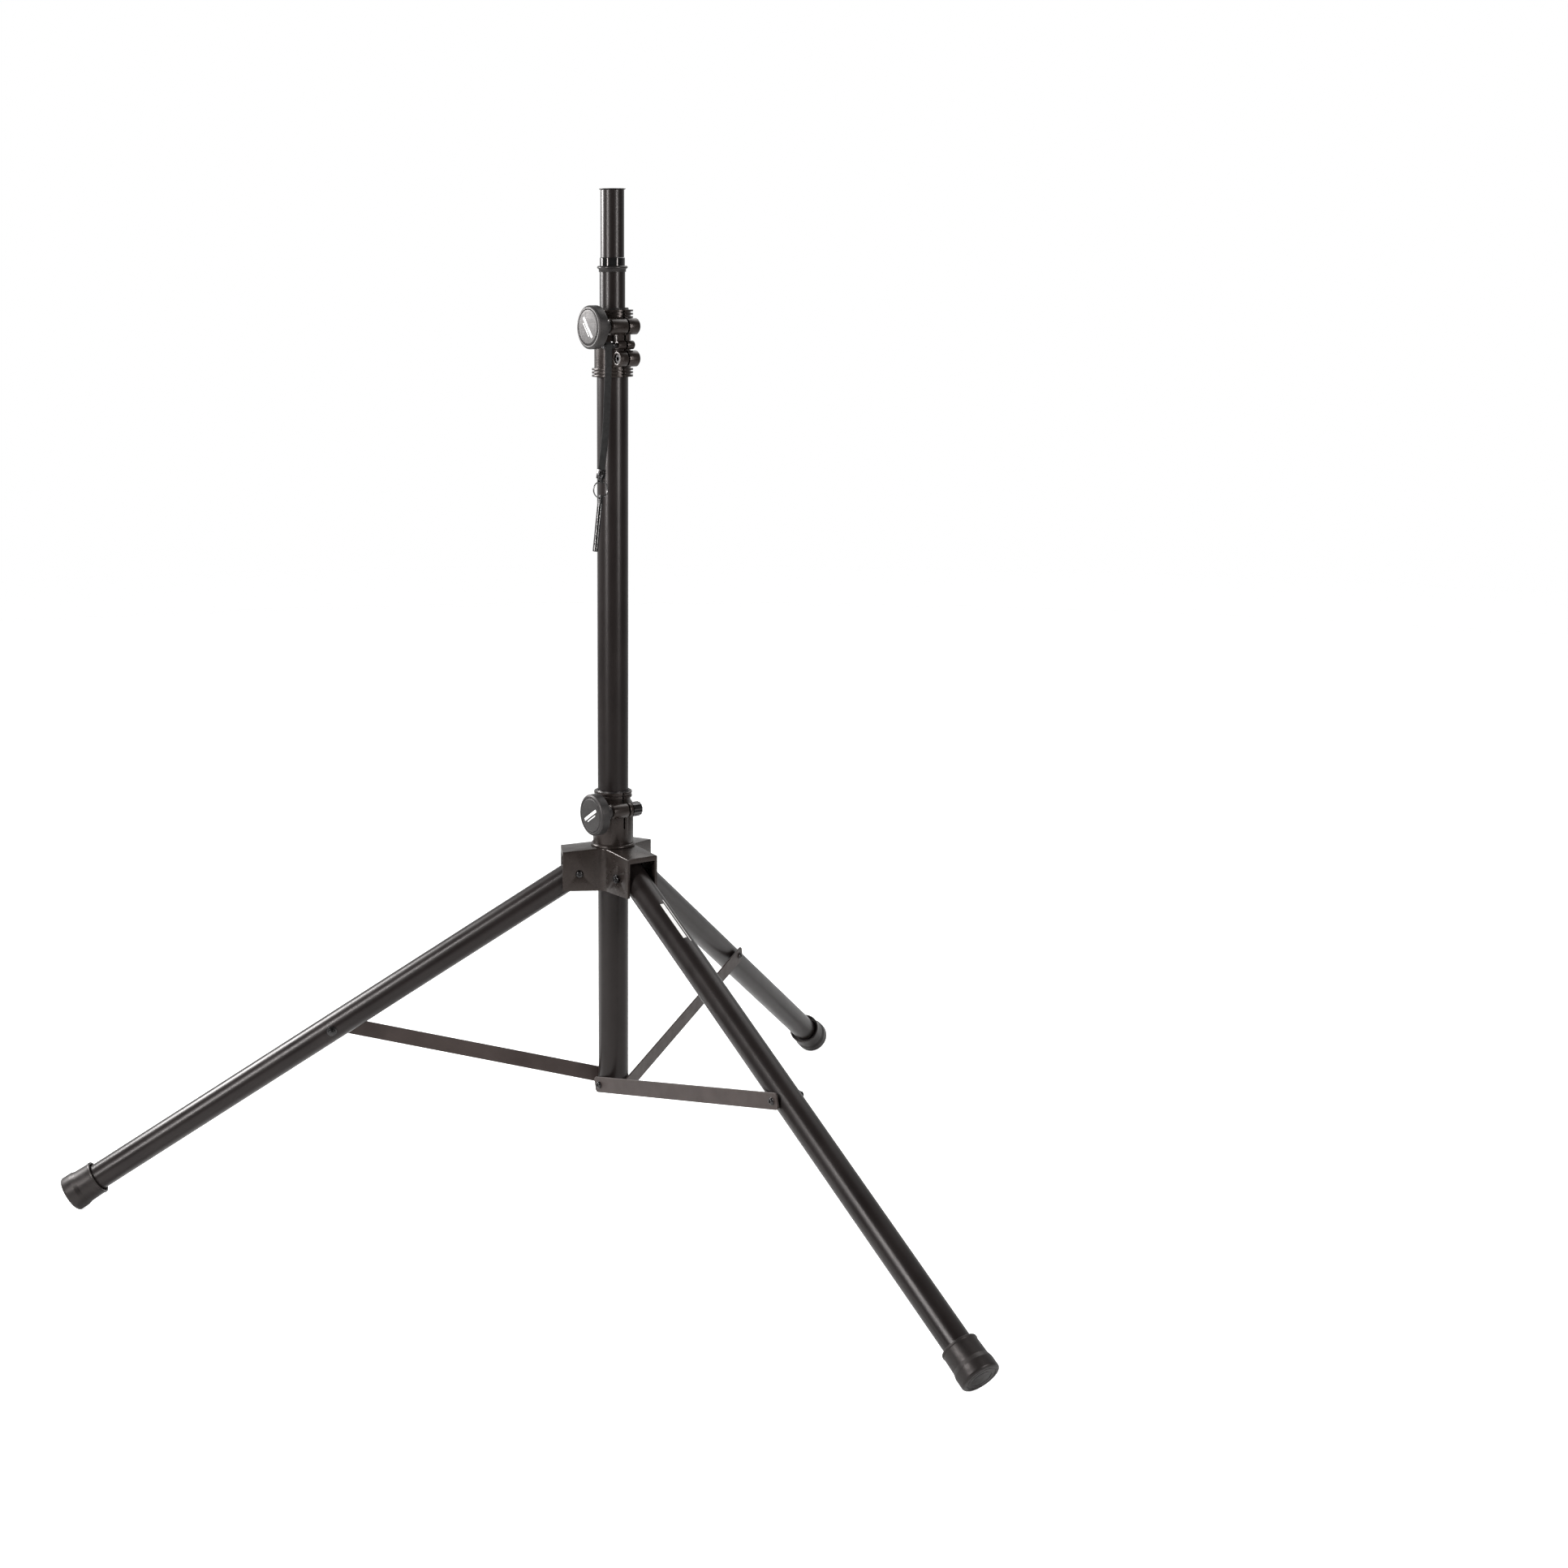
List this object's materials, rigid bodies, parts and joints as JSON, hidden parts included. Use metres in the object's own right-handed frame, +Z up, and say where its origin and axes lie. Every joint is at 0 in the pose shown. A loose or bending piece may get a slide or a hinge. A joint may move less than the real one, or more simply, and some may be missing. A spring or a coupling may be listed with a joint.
{
  "type": "speaker tripod stand",
  "caption": "Folding steel tripod stand for a loudspeaker: telescoping shaft with a top pole, clamp collar and hub with round knobs, single-tube legs with rubber feet and flat braces.",
  "frame": {"origin": "on the mast axis at floor level, under the stand", "axes": "+Z up along the mast; one leg points along -Y, the other two at 30 and 150 degrees from +X; the clamp knobs stand at the -X side"},
  "size_m": [1.5302, 1.3327, 1.5695],
  "materials": {
    "tube_paint": "satin black powder coat",
    "bar_paint": "satin dark grey-brown coat",
    "casting_paint": "satin black paint on a casting",
    "plastic": "moulded black",
    "gloss_plastic": "glossy black",
    "knob_plastic": "fine-textured black",
    "rubber": "matte black rubber",
    "black_steel": "black oxide",
    "nickel": "bright nickel plate",
    "webbing": "flat woven black strap"
  },
  "bodies": {
    "mast": {"mast_tube": "tube_paint", "mast_foot_plug": "plastic", "brace_pivot_bolts": "black_steel", "top_collar": "casting_paint", "collar_bush": "plastic", "collar_fixing_screw": "black_steel", "collar_fixing_nut": "black_steel", "collar_clamp_nut": "black_steel", "lanyard_screw": "black_steel", "lanyard_washer": "nickel"},
    "hub": {"leg_housing": "casting_paint", "base_ring": "casting_paint", "hub_collar": "casting_paint", "hub_bush": "plastic", "hub_clamp_nut": "black_steel", "leg_pivot_bolts": "black_steel", "leg_pivot_nuts": "black_steel"},
    "leg_1": {"leg_tube_1": "tube_paint", "leg_plug_1": "plastic", "foot_cap_1": "rubber", "brace_stud_1": "black_steel"},
    "leg_2": {"leg_tube_2": "tube_paint", "leg_plug_2": "plastic", "foot_cap_2": "rubber", "brace_stud_2": "black_steel"},
    "leg_3": {"leg_tube_3": "tube_paint", "leg_plug_3": "plastic", "foot_cap_3": "rubber", "brace_stud_3": "black_steel"},
    "brace_1": {"brace_bar_1": "bar_paint", "brace_spacer_1": "plastic", "brace_bolt_1": "black_steel"},
    "brace_2": {"brace_bar_2": "bar_paint", "brace_spacer_2": "plastic", "brace_bolt_2": "black_steel"},
    "brace_3": {"brace_bar_3": "bar_paint", "brace_spacer_3": "plastic", "brace_bolt_3": "black_steel"},
    "glide": {"shaft_glide": "plastic"},
    "shaft": {"shaft_tube": "tube_paint", "pole_tube": "tube_paint", "pole_sleeve": "gloss_plastic", "rest_flange": "plastic"},
    "cap": {"pole_cap": "plastic"},
    "upper_knob": {"upper_knob_body": "knob_plastic", "upper_knob_cap": "knob_plastic", "upper_knob_bolt": "black_steel"},
    "lower_knob": {"lower_knob_body": "knob_plastic", "lower_knob_cap": "knob_plastic", "lower_knob_bolt": "black_steel"},
    "lanyard": {"strap_eyelet": "webbing", "lanyard_strap": "webbing", "strap_clasp": "black_steel", "clasp_rivet": "nickel", "split_ring": "nickel"},
    "safety_pin": {"safety_pin": "nickel"}
  },
  "joints": [
    {"name": "hub_slide", "type": "slide", "parent": "mast", "child": "hub", "axis": [0, 0, 1], "range_m": [0, 0.56188]},
    {"name": "leg_1_fold", "type": "hinge", "parent": "hub", "child": "leg_1", "pos_m": [0, -0.054, 0.538], "axis": [1, 0, 0], "range_deg": [0, 56.01]},
    {"name": "leg_2_fold", "type": "hinge", "parent": "hub", "child": "leg_2", "pos_m": [0.04677, 0.027, 0.538], "axis": [-0.5, 0.866, 0], "range_deg": [0, 56.01]},
    {"name": "leg_3_fold", "type": "hinge", "parent": "hub", "child": "leg_3", "pos_m": [-0.04677, 0.027, 0.538], "axis": [-0.5, -0.866, 0], "range_deg": [0, 56.01]},
    {"name": "brace_1_fold", "type": "hinge", "parent": "mast", "child": "brace_1", "pos_m": [-0.0258, 0, 0.192], "axis": [-1, 0, 0], "range_deg": [0, 69.02]},
    {"name": "brace_2_fold", "type": "hinge", "parent": "mast", "child": "brace_2", "pos_m": [0.0129, -0.02234, 0.192], "axis": [0.5, -0.866, 0], "range_deg": [0, 69.02]},
    {"name": "brace_3_fold", "type": "hinge", "parent": "mast", "child": "brace_3", "pos_m": [0.0129, 0.02234, 0.192], "axis": [0.5, 0.866, 0], "range_deg": [0, 69.02]},
    {"name": "shaft_slide", "type": "slide", "parent": "mast", "child": "glide", "axis": [0, 0, 1], "range_m": [-0.05, 0.85]},
    {"name": "shaft_turn", "type": "hinge", "parent": "glide", "child": "shaft", "pos_m": [0, 0, 0.9], "axis": [0, 0, 1], "continuous": true},
    {"name": "cap_lift", "type": "slide", "parent": "shaft", "child": "cap", "axis": [0, 0, 1], "range_m": [0, 0.15]},
    {"name": "upper_knob_turn", "type": "hinge", "parent": "mast", "child": "upper_knob", "pos_m": [0, -0.033, 1.37], "axis": [-1, 0, 0], "continuous": true},
    {"name": "lower_knob_turn", "type": "hinge", "parent": "hub", "child": "lower_knob", "pos_m": [0, -0.036, 0.639], "axis": [-1, 0, 0], "continuous": true},
    {"name": "lanyard_lift", "type": "hinge", "parent": "mast", "child": "lanyard", "pos_m": [0, -0.033, 1.343], "axis": [-1, 0, 0], "range_deg": [0, 20.01]},
    {"name": "pin_swing", "type": "hinge", "parent": "lanyard", "child": "safety_pin", "pos_m": [-0.044, -0.033, 1.132], "axis": [0, 1, 0], "range_deg": [-50, 50]}
  ],
  "couplings": [
    {"joint": "leg_1_fold", "follows": "hub_slide", "rad_per_m": 1.7395},
    {"joint": "leg_2_fold", "follows": "hub_slide", "rad_per_m": 1.7395},
    {"joint": "leg_3_fold", "follows": "hub_slide", "rad_per_m": 1.7395},
    {"joint": "brace_1_fold", "follows": "hub_slide", "rad_per_m": 2.1436},
    {"joint": "brace_2_fold", "follows": "hub_slide", "rad_per_m": 2.1436},
    {"joint": "brace_3_fold", "follows": "hub_slide", "rad_per_m": 2.1436},
    {"joint": "lanyard_lift", "follows": "hub_slide", "rad_per_m": 0.62125}
  ]
}
